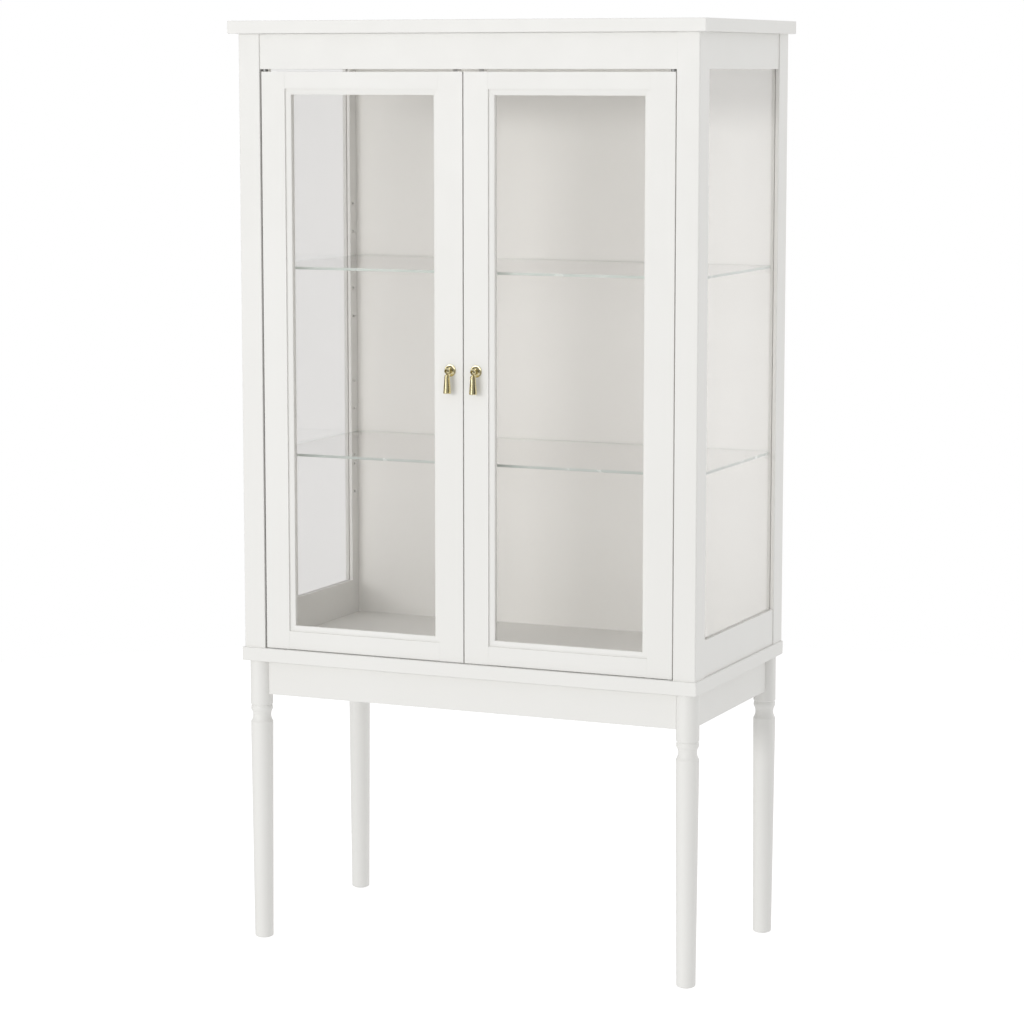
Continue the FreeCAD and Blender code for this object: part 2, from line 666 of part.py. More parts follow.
def section(flat, edge, sense, upright):
    """A member's section in sketch coordinates, from its outer edge towards the glass."""
    profile = member_profile(flat)
    points = []
    for distance, depth in profile:
        away = f"{edge} + ({sense}) * ({distance})"
        deep = f"place.door_front + {depth}"
        points.append((away, deep) if upright else (deep, away))
    moulding = profile.index((flat, "dim.moulding_step"))
    start = points[moulding]
    end = points[moulding + 1]
    side = sense if upright else -sense
    points[moulding] = (*start, arch(start, end, "dim.moulding_rise"), side)
    return points


def mitre_corner(edge_x, sense_x, edge_z, sense_z, flat_z):
    """Where a mitre starts, and a point past its end, in front view."""
    reach = "dim.moulding_width + dim.overrun"
    start = (f"{edge_x} + ({sense_x}) * dim.stile_flat", f"{edge_z} + ({sense_z}) * {flat_z}")
    end = (f"{start[0]} + ({sense_x}) * ({reach})", f"{start[1]} + ({sense_z}) * ({reach})")
    return start, end


DOOR_ENDS = (
    ("place.door_bottom", 1, "dim.door_bottom_flat"),
    ("place.door_top", -1, "dim.door_top_flat"),
)
DOOR_SIDES = (("place.door_inner", 1), ("place.door_outer", -1))


def tenon_box(edge_x, sense_x, edge_z, sense_z, flat_z, play):
    """Corners of a rail's tenon, or of its mortise with some play around it."""
    xs = [f"{edge_x} + ({sense_x}) * (dim.stile_flat - dim.tenon_length - {play})",
          f"{edge_x} + ({sense_x}) * (dim.stile_flat + dim.overrun)"]
    zs = [f"{edge_z} + ({sense_z}) * (dim.tenon_shoulder - {play})",
          f"{edge_z} + ({sense_z}) * ({flat_z} - dim.tenon_shoulder + {play})"]
    front = "place.door_front + dim.tenon_setback"
    low = (xs[0] if sense_x > 0 else xs[1], f"{front} - {play}", zs[0] if sense_z > 0 else zs[1])
    high = (xs[1] if sense_x > 0 else xs[0], f"{front} + dim.tenon_thick + {play}",
            zs[1] if sense_z > 0 else zs[0])
    return low, high


def stile(name, easing, edge_x, sense_x):
    body = doc.addObject("PartDesign::Body", name)
    profile = outline(body, "XY_Plane", section("dim.stile_flat", edge_x, sense_x, True),
                      "place.door_bottom")
    pad(body, profile, "place.door_top - place.door_bottom")
    ease(body, easing, lambda edge: runs_along(UP)(edge) and near(edge, "x", edge_x))
    for edge_z, sense_z, flat_z in DOOR_ENDS:
        start, end = mitre_corner(edge_x, sense_x, edge_z, sense_z, flat_z)
        past = f"{edge_z} - ({sense_z}) * dim.overrun"
        pocket_through(body, outline(body, "XZ_Plane", [start, end, (end[0], past), (start[0], past)]))
        slot(body, *tenon_box(edge_x, sense_x, edge_z, sense_z, flat_z, "dim.hole_play"))
    return body


def door_rail(name, edge_z, sense_z, flat_z):
    body = doc.addObject("PartDesign::Body", name)
    left = "place.door_inner + dim.stile_flat"
    right = "place.door_outer - dim.stile_flat"
    profile = outline(body, "YZ_Plane", section(flat_z, edge_z, sense_z, False), left)
    pad(body, profile, f"({right}) - ({left})")
    ease(body, "dim.joint_easing", lambda edge: runs_along(UP)(edge) and near(edge, "y", "place.door_front"))
    ease(body, "dim.part_easing", lambda edge: runs_along(RIGHT)(edge) and near(edge, "z", edge_z))
    for edge_x, sense_x in DOOR_SIDES:
        start, end = mitre_corner(edge_x, sense_x, edge_z, sense_z, flat_z)
        past = f"{start[0]} - ({sense_x}) * dim.overrun"
        pocket_through(body, outline(body, "XZ_Plane", [start, end, (past, end[1]), (past, start[1])]))
        block(body, "Additive", *tenon_box(edge_x, sense_x, edge_z, sense_z, flat_z, "0"))
    return body


meeting_stile = stile("right_door_meeting_stile", "dim.part_easing", *DOOR_SIDES[0])
hinge_stile = stile("right_door_hinge_stile", "dim.door_easing", *DOOR_SIDES[1])
door_bottom_rail = door_rail("right_door_bottom_rail", *DOOR_ENDS[0])
door_top_rail = door_rail("right_door_top_rail", *DOOR_ENDS[1])

# Door glass, and the beads that hold it
glass_edge = "dim.rebate_width - dim.edge_play"
door_glass = board(
    "right_door_glass",
    (f"place.sight_left - ({glass_edge})", "place.pane_front", f"place.sight_bottom - ({glass_edge})"),
    (f"place.sight_right + {glass_edge}", "place.pane_back", f"place.sight_top + {glass_edge}"))

bead_outer = "dim.rebate_width - dim.bead_play"
bead_inner = f"{bead_outer} - dim.bead_width"
bead_low = (f"place.sight_left - ({bead_outer})", "place.pane_back", f"place.sight_bottom - ({bead_outer})")
bead_high = (f"place.sight_right + {bead_outer}", "place.door_back", f"place.sight_top + {bead_outer}")
inner_left = f"place.sight_left - ({bead_inner})"
inner_right = f"place.sight_right + {bead_inner}"
inner_bottom = f"place.sight_bottom - ({bead_inner})"
inner_top = f"place.sight_top + {bead_inner}"
upright_low = f"{inner_bottom} + dim.bead_play"
upright_high = f"{inner_top} - dim.bead_play"
BEADS = [
    (bead_low, (bead_high[0], bead_high[1], inner_bottom)),
    ((bead_low[0], bead_low[1], inner_top), bead_high),
    ((bead_low[0], bead_low[1], upright_low), (inner_left, bead_high[1], upright_high)),
    ((inner_right, bead_low[1], upright_low), (bead_high[0], bead_high[1], upright_high)),
]
beads = [board("bead", low, high) for low, high in BEADS]


# Pivot hinges of the right door: a leaf in the case with the pin, a leaf in the door's edge
def leaf_box(edge_z, inward, play):
    """Corners of a hinge leaf, or of its bed with some play, let into an edge."""
    low = [f"place.leaf_left - {play}", f"place.pivot_y - dim.leaf_width / 2 - {play}", edge_z]
    high = [f"place.leaf_left + dim.leaf_length + {play}",
            f"place.pivot_y + dim.leaf_width / 2 + {play}", edge_z]
    over = "0" if play == "0" else "dim.overrun"
    if inward > 0:
        low[2] = f"{edge_z} - {over}"
        high[2] = f"{edge_z} + dim.leaf_thick + {play}"
    else:
        low[2] = f"{edge_z} - dim.leaf_thick - {play}"
        high[2] = f"{edge_z} + {over}"
    return low, high


LEAF_SCREW_SHARES = (0.42, 0.78)
SCREW_XS = [f"place.pivot_x - {share} * dim.leaf_length" for share in LEAF_SCREW_SHARES]


def leaf(name, edge_z, inward):
    """A hinge leaf with counterbored screw holes, let into an edge."""
    body = board(name, *leaf_box(edge_z, inward, "0"))
    direction = UP if inward > 0 else DOWN
    for x in SCREW_XS:
        drill(body, (x, "place.pivot_y", edge_z), direction,
              "dim.hinge_screw_head_radius + dim.hole_play", "dim.hinge_screw_head + dim.hole_play")
        drill(body, (x, "place.pivot_y", edge_z), direction,
              "dim.hinge_screw_radius + dim.hole_play", "dim.leaf_thick + dim.overrun")
    return body


def screw(start, direction, radius, length, head_radius, head):
    """A screw with a flat head. It starts at the head's outer face and runs along direction."""
    shank = rod(start, direction, radius, length)
    return joined([shank, rod(start, direction, head_radius, head)])


def leaf_screws(edge_z, inward, wood):
    """The screws of one leaf, and their holes in the wood."""
    direction = UP if inward > 0 else DOWN
    made = []
    for x in SCREW_XS:
        start = (x, "place.pivot_y", edge_z)
        made.append(screw(start, direction, "dim.hinge_screw_radius", "dim.hinge_screw_length",
                          "dim.hinge_screw_head_radius", "dim.hinge_screw_head"))
        drill(wood, start, direction, "dim.hinge_screw_radius + dim.hole_play",
              "dim.hinge_screw_length + dim.hole_spare")
        if wood in WHOLE_WIDTH:
            drill(wood, across(start), direction, "dim.hinge_screw_radius + dim.hole_play",
                  "dim.hinge_screw_length + dim.hole_spare")
    return made


def bed(wood, edge_z, inward):
    """The bed of a leaf in the wood, on both halves where the piece spans the cabinet."""
    low, high = leaf_box(edge_z, inward, "dim.leaf_bed_play")
    slot(wood, low, high)
    if wood in WHOLE_WIDTH:
        slot(wood, (f"-({high[0]})", low[1], low[2]), (f"-({low[0]})", high[1], high[2]))


# Each end of a door: (case edge, way into the case, case wood, door edge, room above the boss)
HINGES = [
    ("place.base_top", -1, bottom_board, "place.door_bottom", "dim.pivot_play"),
    ("place.rail_under", 1, front_top_rail, "place.door_top", "dim.pivot_float"),
]
frame_leaves = []
frame_screws = []
door_leaves = []
door_screws = []
for case_edge, inward, wood, door_edge, room in HINGES:
    into_door = DOWN if inward > 0 else UP
    gap = f"abs({door_edge} - {case_edge})"
    bed(wood, case_edge, inward)
    frame_leaf = leaf("frame_leaf", case_edge, inward)
    pivot = ("place.pivot_x", "place.pivot_y", case_edge)
    round_feature(frame_leaf, "Additive", pivot, into_door, "dim.leaf_width / 2", f"{gap} - {room}")
    round_feature(frame_leaf, "Additive", pivot, into_door, "dim.pivot_radius", f"{gap} + dim.pivot_reach")
    frame_leaves.append(frame_leaf)
    frame_screws += leaf_screws(case_edge, inward, wood)
    bed(hinge_stile, door_edge, -inward)
    door_leaf = leaf("door_leaf", door_edge, -inward)
    eye = ("place.pivot_x", "place.pivot_y", door_edge)
    drill(door_leaf, eye, into_door, "dim.pivot_radius + dim.pivot_play", "dim.leaf_thick + dim.overrun")
    drill(hinge_stile, eye, into_door, "dim.pivot_radius + dim.hole_spare",
          "dim.pivot_reach + dim.hole_spare")
    door_leaves.append(door_leaf)
    door_screws += leaf_screws(door_edge, -inward, hinge_stile)

# Magnetic catch behind the top rail, and its strike plate let into the door's back
catch_left = "place.pull_x - dim.catch_width / 2"
catch_right = "place.pull_x + dim.catch_width / 2"
catch = board(
    "catch",
    (catch_left, "place.catch_front", "place.rail_under - dim.catch_drop"),
    (catch_right, "place.catch_back", "place.rail_under + dim.catch_rise"))
ease(catch, "dim.part_easing")
block(catch, "Additive",
      (catch_left, "place.rail_back", "place.rail_under + dim.part_easing"),
      (catch_right, "place.catch_front + dim.catch_depth / 2",
       "place.rail_under + dim.catch_rise - dim.part_easing"))

CATCH_SCREW_SHARES = (0.27, 0.73)
catch_screws = []
for share in CATCH_SCREW_SHARES:
    head = ("place.pull_x", "place.catch_back", f"place.rail_under + {share} * dim.catch_rise")
    reach = "place.catch_back - place.rail_back + dim.catch_screw_length"
    hole_radius = "dim.catch_screw_radius + dim.hole_play"
    catch_screws.append(joined([
        rod(head, FORWARD, "dim.catch_screw_radius", reach),
        rod(head, BACK, "dim.catch_screw_head_radius", "dim.catch_screw_head")]))
    drill(catch, head, FORWARD, hole_radius, reach)
    for start in (head, across(head)):
        drill(front_top_rail, start, FORWARD, hole_radius, f"{reach} + dim.hole_spare")

strike_top = "place.door_top - dim.strike_inset"
strike_foot = f"{strike_top} - dim.strike_height"
strike_front = "place.door_back - dim.strike_thick"
strike = board(
    "strike",
    (catch_left, strike_front, strike_foot),
    (catch_right, "place.door_back", strike_top))
slot(meeting_stile,
     tuple(f"{low} - dim.hole_play" for low in (catch_left, strike_front, strike_foot)),
     (f"{catch_right} + dim.hole_play", "place.door_back + dim.overrun", f"{strike_top} + dim.hole_play"))

# Drop pull of the right door, drawn about its own pivot
rosette = doc.addObject("PartDesign::Body", "right_pull_rosette")
knob_meets_neck = "sqrt(dim.knob_radius ^ 2 - dim.neck_radius ^ 2)"
boss_edge = ("dim.rosette_boss_radius", "dim.drop_standoff - dim.rosette_boss")
rim_edge = ("dim.rosette_radius", "dim.drop_standoff - dim.rosette_rim")
revolve(rosette, outline(rosette, "XY_Plane", [
    ("0", "dim.drop_standoff"),
    ("0", "-dim.knob_radius", "dim.knob_radius", 1),
    ("dim.neck_radius", knob_meets_neck),
    ("dim.neck_radius", "dim.drop_standoff - dim.rosette_boss"),
    (*boss_edge, arch(boss_edge, rim_edge, "dim.rosette_cove"), -1),
    rim_edge,
    ("dim.rosette_radius", "dim.drop_standoff"),
]))
slot(rosette,
     ("-place.slot_half", "-dim.knob_radius - dim.overrun", "-dim.knob_radius - dim.overrun"),
     ("place.slot_half", "place.slot_back", "place.slot_top"))
round_feature(rosette, "Additive", ("-dim.knob_radius / 2", "0", "0"), RIGHT,
              "dim.cross_pin_radius", "dim.knob_radius")
drill(rosette, ("0", "dim.drop_standoff", "0"), FORWARD,
      "dim.pull_screw_radius + dim.hole_play", "dim.pull_screw_grip + dim.hole_spare")
put(rosette, "place.pull_x", "place.pull_y", "place.pull_z")

drop = doc.addObject("PartDesign::Body", "right_pull_drop")
foot_inner = "dim.drop_foot_radius - dim.drop_foot_rounding"
revolve(drop, outline(drop, "XZ_Plane", [
    ("0", "-dim.drop_neck_length"),
    ("0", "-dim.drop_length"),
    (foot_inner, "-dim.drop_length", "dim.drop_foot_rounding", 1),
    ("dim.drop_foot_radius", "-dim.drop_length + dim.drop_foot_rounding"),
    ("dim.drop_top_radius", "-dim.drop_neck_length - dim.drop_foot_rounding", "dim.drop_foot_rounding", 1),
    ("dim.drop_top_radius - dim.drop_foot_rounding", "-dim.drop_neck_length"),
]))
block(drop, "Additive",
      ("-dim.tongue_thick / 2", "-dim.tongue_radius", "-dim.drop_neck_length - dim.drop_foot_rounding"),
      ("dim.tongue_thick / 2", "dim.tongue_radius", "0"))
round_feature(drop, "Additive", ("-dim.tongue_thick / 2", "0", "0"), RIGHT,
              "dim.tongue_radius", "dim.tongue_thick")
drill(drop, ("-dim.tongue_thick", "0", "0"), RIGHT,
      "dim.cross_pin_radius + dim.pivot_play", "2 * dim.tongue_thick")
put(drop, "place.pull_x", "place.pull_y", "place.pull_z")

pull_screw_start = ("place.pull_x", "place.door_back", "place.pull_z")
pull_screw = joined([
    rod(pull_screw_start, FORWARD, "dim.pull_screw_radius", "dim.door_thick + dim.pull_screw_grip"),
    rod(pull_screw_start, BACK, "dim.pull_screw_head_radius", "dim.pull_screw_head")])
drill(meeting_stile, ("place.pull_x", "place.door_back + dim.overrun", "place.pull_z"), FORWARD,
      "dim.pull_screw_radius + dim.hole_play", "dim.door_thick + 2 * dim.overrun")

# Stand: legs, aprons and what holds them together. A corner is drawn about its leg's axis,
# with the cabinet's middle towards its own +X and +Y, and turned into its place.
CORNERS = [
    ("front_left", "-place.leg_x", "place.leg_front_y", 0),
    ("front_right", "place.leg_x", "place.leg_front_y", 90),
    ("rear_right", "place.leg_x", "place.leg_rear_y", 180),
    ("rear_left", "-place.leg_x", "place.leg_rear_y", 270),
]
DIAGONAL = Vector(1, 1, 0).normalize()
apron_inside = "(dim.apron_thick - dim.apron_reach)"
plate_distance = f"(({apron_inside} + dim.bracket_corner) / sqrt(2))"
bolt_end = f"({plate_distance} + dim.bracket_thick + dim.nut_thick + dim.leg_bolt_tail)"


def at_corner(item, x, y, turn_degrees):
    item.Placement.Rotation = FreeCAD.Rotation(UP, turn_degrees)
    item.setExpression("Placement.Base.x", x)
    item.setExpression("Placement.Base.y", y)
    return item


def on_diagonal(distance):
    """A place on the corner's diagonal at the height of the leg bolts."""
    return (f"({distance}) / sqrt(2)", f"({distance}) / sqrt(2)", "place.bracket_z")


def leg(name):
    """A turned leg with its bolt hole and the hole of its glide."""
    body = doc.addObject("PartDesign::Body", name)
    quirk_top = "dim.leg_height - dim.leg_block"
    bead_top = f"{quirk_top} - dim.leg_quirk"
    bead_foot = ("dim.leg_radius - dim.leg_bead_depth", f"{bead_top} - dim.leg_bead")
    bead_head = ("dim.leg_radius - dim.leg_quirk_depth", bead_top)
    shoulder = ("dim.leg_radius", f"{bead_foot[1]} - dim.leg_cove")
    revolve(body, outline(body, "XZ_Plane", [
        ("0", "dim.leg_height"),
        ("0", "dim.glide_thick"),
        ("dim.leg_foot_radius - dim.leg_foot_rounding", "dim.glide_thick", "dim.leg_foot_rounding", 1),
        ("dim.leg_foot_radius", "dim.glide_thick + dim.leg_foot_rounding"),
        (*shoulder, arch(shoulder, bead_foot, "dim.leg_cove_fall"), -1),
        (*bead_foot, arch(bead_foot, bead_head, "dim.leg_bead_rise"), 1),
        bead_head,
        ("dim.leg_radius", quirk_top),
        ("dim.leg_radius", "dim.leg_height"),
    ]))
    drill(body, ("0", "0", "dim.glide_thick - dim.overrun"), UP,
          "dim.glide_stem_radius + dim.hole_play", "dim.glide_stem + dim.overrun")
    drill(body, on_diagonal("dim.leg_bolt_start - dim.hole_spare"), DIAGONAL,
          "dim.leg_bolt_radius + dim.hole_play", "dim.leg_radius + dim.overrun")
    return body


# Screws of one bracket: (place of the head's seat, way into the apron)
screw_reach = "dim.bracket_corner + dim.bracket_flange / 2"
flange_face = f"({apron_inside} + dim.bracket_thick)"
SCREW_LEVELS = [f"place.bracket_z + ({sense}) * dim.bracket_height / 4" for sense in (-1, 1)]
BRACKET_SCREWS = []
for level in SCREW_LEVELS:
    BRACKET_SCREWS.append(((flange_face, screw_reach, level), LEFT))
    BRACKET_SCREWS.append(((screw_reach, flange_face, level), FORWARD))


def bracket():
    """A bent plate across a corner, with a flange flat on each apron."""
    body = doc.addObject("PartDesign::Body", "bracket")
    bend = "dim.bracket_corner"
    inner_bend = "dim.bracket_corner + dim.bracket_thick * (sqrt(2) - 1)"
    tip = "dim.bracket_corner + dim.bracket_flange"
    pad(body, outline(body, "XY_Plane", [
        (tip, apron_inside), (tip, flange_face), (inner_bend, flange_face), (flange_face, inner_bend),
        (flange_face, tip), (apron_inside, tip), (apron_inside, bend), (bend, apron_inside),
    ], "place.bracket_z - dim.bracket_height / 2"), "dim.bracket_height")
    drill(body, on_diagonal("0"), DIAGONAL, "dim.leg_bolt_radius + dim.hole_play", bolt_end)
    for middle, outward in BRACKET_SCREWS:
        start = along(middle, outward, f"-{apron_inside}")
        drill(body, start, outward, "dim.bracket_screw_radius + dim.hole_play", f"2 * {apron_inside}")
    return body


def bracket_screw(middle, outward):
    """A screw from a bracket's flange into the apron."""
    return joined([
        rod(middle, outward, "dim.bracket_screw_radius", "dim.bracket_thick + dim.bracket_screw_grip"),
        rod(middle, outward * -1, "dim.bracket_screw_head_radius", "dim.bracket_screw_head")])


def nut():
    body = doc.addObject("PartDesign::Body", "nut")
    corner = "dim.nut_width / sqrt(3)"
    half = "dim.nut_width / 2"
    pad(body, outline(body, "XY_Plane", [
        (corner, "0"), (f"{corner} / 2", half), (f"-{corner} / 2", half),
        (f"-{corner}", "0"), (f"-{corner} / 2", f"-{half}"), (f"{corner} / 2", f"-{half}"),
    ]), "dim.nut_thick")
    drill(body, ("0", "0", "-dim.overrun"), UP, "dim.leg_bolt_radius + dim.hole_play",
          "dim.nut_thick + 2 * dim.overrun")
    turn(body, DIAGONAL)
    return put(body, *on_diagonal(f"{plate_distance} + dim.bracket_thick"))


def at_every_corner(make):
    """One copy of a corner piece at each leg."""
    copies = []
    for _, x, y, degrees in CORNERS:
        holder = doc.addObject("Part::Compound", "corner")
        holder.Links = make()
        copies.append(at_corner(holder, x, y, degrees))
    return copies


glides = []
for name, x, y, degrees in CORNERS:
    keep(at_corner(leg("leg_" + name), x, y, degrees), "leg_" + name)
    disc = rod((x, y, "0"), UP, "dim.glide_radius", "dim.glide_thick")
    nail = rod((x, y, "0"), UP, "dim.glide_stem_radius", "dim.glide_stem")
    glides.append(joined([disc, nail]))
group("foot_glides", glides)

# Aprons between the legs, hollowed at their ends to fit them
inner_faces = {
    "front": f"place.leg_front_y + {apron_inside}",
    "rear": f"place.leg_rear_y - {apron_inside}",
    "side": f"place.leg_x - {apron_inside}",
}
aprons = {
    "apron_front": board(
        "apron_front",
        ("-place.leg_x", "place.leg_front_y - dim.apron_reach", "place.apron_under"),
        ("place.leg_x", inner_faces["front"], "dim.leg_height")),
    "apron_rear": board(
        "apron_rear",
        ("-place.leg_x", inner_faces["rear"], "place.apron_under"),
        ("place.leg_x", "place.leg_rear_y + dim.apron_reach", "dim.leg_height")),
    "apron_left": board(
        "apron_left",
        ("-place.leg_x - dim.apron_reach", "place.leg_front_y", "place.apron_under"),
        (f"-({inner_faces['side']})", "place.leg_rear_y", "dim.leg_height")),
    "apron_right": board(
        "apron_right",
        (inner_faces["side"], "place.leg_front_y", "place.apron_under"),
        ("place.leg_x + dim.apron_reach", "place.leg_rear_y", "dim.leg_height")),
}
half_spacing = "dim.base_screw_spacing / 2"
front_line = f"place.leg_front_y + {apron_inside} / 2 - dim.apron_reach / 2"
rear_line = f"place.leg_rear_y - {apron_inside} / 2 + dim.apron_reach / 2"
side_line = f"place.leg_x - {apron_inside} / 2 + dim.apron_reach / 2"
side_middle = "(place.leg_front_y + place.leg_rear_y) / 2"
BASE_SCREWS = {
    "apron_front": [(f"-{half_spacing}", front_line), (half_spacing, front_line)],
    "apron_rear": [(f"-{half_spacing}", rear_line), (half_spacing, rear_line)],
    "apron_left": [(f"-({side_line})", side_middle)],
    "apron_right": [(side_line, side_middle)],
}
base_screws = []
for name, apron in aprons.items():
    direction = RIGHT if name in ("apron_front", "apron_rear") else BACK
    ease(apron, "dim.part_easing", runs_along(direction))
    for _, x, y, degrees in CORNERS:
        drill(apron, (x, y, "place.apron_under - dim.overrun"), UP,
              "dim.leg_radius + dim.apron_play", "dim.apron_height + 2 * dim.overrun")
        drill(apron, (x, y, "place.bracket_z"), FreeCAD.Rotation(UP, degrees).multVec(DIAGONAL),
              "dim.leg_bolt_radius + dim.hole_play", plate_distance)
    for x, y in BASE_SCREWS[name]:
        seat = (x, y, "place.apron_under + dim.base_screw_sink")
        length = "dim.apron_height - dim.base_screw_sink + dim.base_screw_grip"
        hole = ("dim.base_screw_radius + dim.hole_play", f"{length} + dim.hole_spare")
        drill(apron, seat, UP, *hole)
        drill(bottom_board, seat, UP, *hole)
        drill(apron, seat, DOWN, "dim.base_screw_head_radius + dim.hole_play",
              "dim.base_screw_sink + dim.overrun")
        base_screws.append(joined([
            rod(seat, UP, "dim.base_screw_radius", length),
            rod(seat, DOWN, "dim.base_screw_head_radius", "dim.base_screw_head")]))

# Holes of the bracket screws in the aprons
grip = "dim.bracket_screw_grip + dim.hole_spare"
radius = "dim.bracket_screw_radius + dim.hole_play"
for z in SCREW_LEVELS:
    for side in (-1, 1):
        x = f"({side}) * (place.leg_x - ({screw_reach}))"
        drill(aprons["apron_front"], (x, inner_faces["front"], z), FORWARD, radius, grip)
        drill(aprons["apron_rear"], (x, inner_faces["rear"], z), BACK, radius, grip)
    for y in (f"place.leg_front_y + {screw_reach}", f"place.leg_rear_y - ({screw_reach})"):
        drill(aprons["apron_left"], (f"-({inner_faces['side']})", y, z), LEFT, radius, grip)
        drill(aprons["apron_right"], (inner_faces["side"], y, z), RIGHT, radius, grip)

group("corner_brackets", at_every_corner(lambda: [bracket()]))
group("bracket_screws", at_every_corner(lambda: [bracket_screw(*place_of) for place_of in BRACKET_SCREWS]))
group("leg_bolts", at_every_corner(
    lambda: [rod(on_diagonal("dim.leg_bolt_start"), DIAGONAL, "dim.leg_bolt_radius",
                 f"{bolt_end} - dim.leg_bolt_start")]))
group("leg_nuts", at_every_corner(lambda: [nut()]))
group("base_screws", base_screws)
for name, apron in aprons.items():
    keep(apron, name)

# Finished pieces of the case
for whole in (top_board, bottom_board, front_top_rail, back_panel):
    keep(whole, whole.Name)
for right_piece in (front_post, rear_post, side_top_rail, side_bottom_rail, side_glass):
    keep(right_piece, right_piece.Name)
    mirrored(right_piece.Name.replace("right", "left"), right_piece)
shelf("shelf_lower", "dim.lower_shelf_height")
shelf("shelf_upper", "dim.upper_shelf_height")
group("shelf_pins", shelf_pins)
group("case_dowels", dowels)


def both_halves(label, right_members):
    """One node with the right half's pieces and their mirror images."""
    right_half = doc.addObject("Part::Compound", "right_half")
    right_half.Links = right_members
    left_half = doc.addObject("Part::Mirroring", "left_half")
    left_half.Source = right_half
    left_half.Normal = RIGHT
    return group(label, [right_half, left_half])


both_halves("hinge_frame_leaves", frame_leaves)
both_halves("hinge_frame_screws", frame_screws)
both_halves("magnet_catches", [catch])
both_halves("catch_screws", catch_screws)

# Finished pieces of the doors and pulls
door_pieces = [
    keep(meeting_stile, "right_door_meeting_stile"),
    keep(hinge_stile, "right_door_hinge_stile"),
    keep(door_top_rail, "right_door_top_rail"),
    keep(door_bottom_rail, "right_door_bottom_rail"),
    keep(door_glass, "right_door_glass"),
    group("right_door_glazing_beads", beads),
    group("right_door_hinge_leaves", door_leaves),
    group("right_door_hinge_screws", door_screws),
    keep(strike, "right_door_strike_plate"),
    keep(rosette, "right_pull_rosette"),
    keep(pull_screw, "right_pull_screw"),
    keep(drop, "right_pull_drop"),
]
for piece in door_pieces:
    mirrored(piece.Label.replace("right", "left"), piece)

doc.recompute()

# Every object and every finished shape is tested before anything is written
for item in doc.Objects:
    if "Invalid" in item.State or "Error" in item.State:
        raise RuntimeError(f"{item.Name} ({item.Label}) failed: {item.State}")
for piece in pieces:
    if piece.Shape.isNull() or not piece.Shape.isValid() or not piece.Shape.Solids:
        raise RuntimeError(f"{piece.Label} has no valid solid")

os.makedirs("parts", exist_ok=True)
for piece in pieces:
    piece.Shape.exportStep(f"parts/{piece.Label}.step")
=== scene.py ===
import json
import math

import bpy
from mathutils import Euler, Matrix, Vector

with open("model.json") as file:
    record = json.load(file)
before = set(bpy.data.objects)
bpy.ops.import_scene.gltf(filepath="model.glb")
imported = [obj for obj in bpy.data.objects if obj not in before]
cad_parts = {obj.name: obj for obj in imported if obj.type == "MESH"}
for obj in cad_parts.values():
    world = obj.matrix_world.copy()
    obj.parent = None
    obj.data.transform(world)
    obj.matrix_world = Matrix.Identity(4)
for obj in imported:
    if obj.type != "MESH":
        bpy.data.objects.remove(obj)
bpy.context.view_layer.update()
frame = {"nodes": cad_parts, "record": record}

# Display cabinet in white paint, with clear glass and brass pulls. Metres, +Z up, the doors face -Y.

# Colours of the finishes, as linear light
PAINT_PALE = (0.800, 0.794, 0.770, 1)
PAINT_DEEP = (0.782, 0.775, 0.749, 1)
# The back board's colours are lighter than the paint partly as painted light, to brighten the inside of
# the case where the lamps reach less
BOARD_PALE_WITH_PAINTED_LIGHT = (0.925, 0.918, 0.892, 1)
BOARD_DEEP_WITH_PAINTED_LIGHT = (0.905, 0.897, 0.869, 1)
BEECH_PALE = (0.52, 0.33, 0.17, 1)
BEECH_DEEP = (0.38, 0.22, 0.10, 1)
GLASS_TINT = (0.889, 0.884, 0.880, 1)
GLASS_PASS = (0.998, 0.993, 0.988, 1)
EDGE_PALE = (0.81, 0.86, 0.82, 1)
EDGE_DEEP = (0.70, 0.77, 0.73, 1)
BRASS_PALE = (0.86, 0.78, 0.50, 1)
BRASS_DEEP = (0.76, 0.66, 0.37, 1)
STEEL_PALE = (0.50, 0.50, 0.49, 1)
STEEL_DEEP = (0.38, 0.38, 0.38, 1)
PLASTIC_PALE = (0.83, 0.82, 0.80, 1)
PLASTIC_DEEP = (0.78, 0.77, 0.75, 1)
WHITE = (1, 1, 1, 1)

# Roughness of the finishes, from the smoothest to the roughest place
PAINT_GLOSS = (0.42, 0.52)
BOARD_GLOSS = (0.46, 0.56)
PLASTIC_GLOSS = (0.5, 0.6)
GLASS_GLOSS = (0.0, 0.02)
EDGE_GLOSS = (0.15, 0.3)
BRASS_GLOSS = (0.06, 0.10)
STEEL_GLOSS = (0.45, 0.6)
BEECH_ROUGHNESS = 0.6

# How glass and paint bend light, and how much of it a shelf's ground edge lets through
GLASS_IOR = 1.5
PAINT_IOR = 1.45
EDGE_TRANSMISSION = 0.35

# Surface grain: texture scales are per metre, heights in metres, stretches along X, Y and Z
CLOUD_SCALE = 4.0
SHEEN_SCALE = 30.0
SMEAR_SCALE = 6.0
RIPPLE_SCALE = 60.0
FIBRE_SCALE = 400.0
PAINT_GRAIN_SCALE = 700.0
BOARD_GRAIN_SCALE = 350.0
METAL_GRAIN_SCALE = 900.0
PLASTIC_GRAIN_SCALE = 900.0
PAINT_GRAIN_HEIGHT = 0.00005
STEEL_GRAIN_HEIGHT = 0.00001
BRASS_GRAIN_HEIGHT = 0.0000015
BEECH_STRETCH = (1, 1, 0.05)
BRASS_STRETCH = (1, 1, 0.15)
STEEL_STRETCH = (0.2, 1, 1)
PLAIN_DETAIL = 3.0
FIBRE_DETAIL = 6.0

# A noise texture's values lie mostly between these two
NOISE_LOW = 0.3
NOISE_HIGH = 0.7

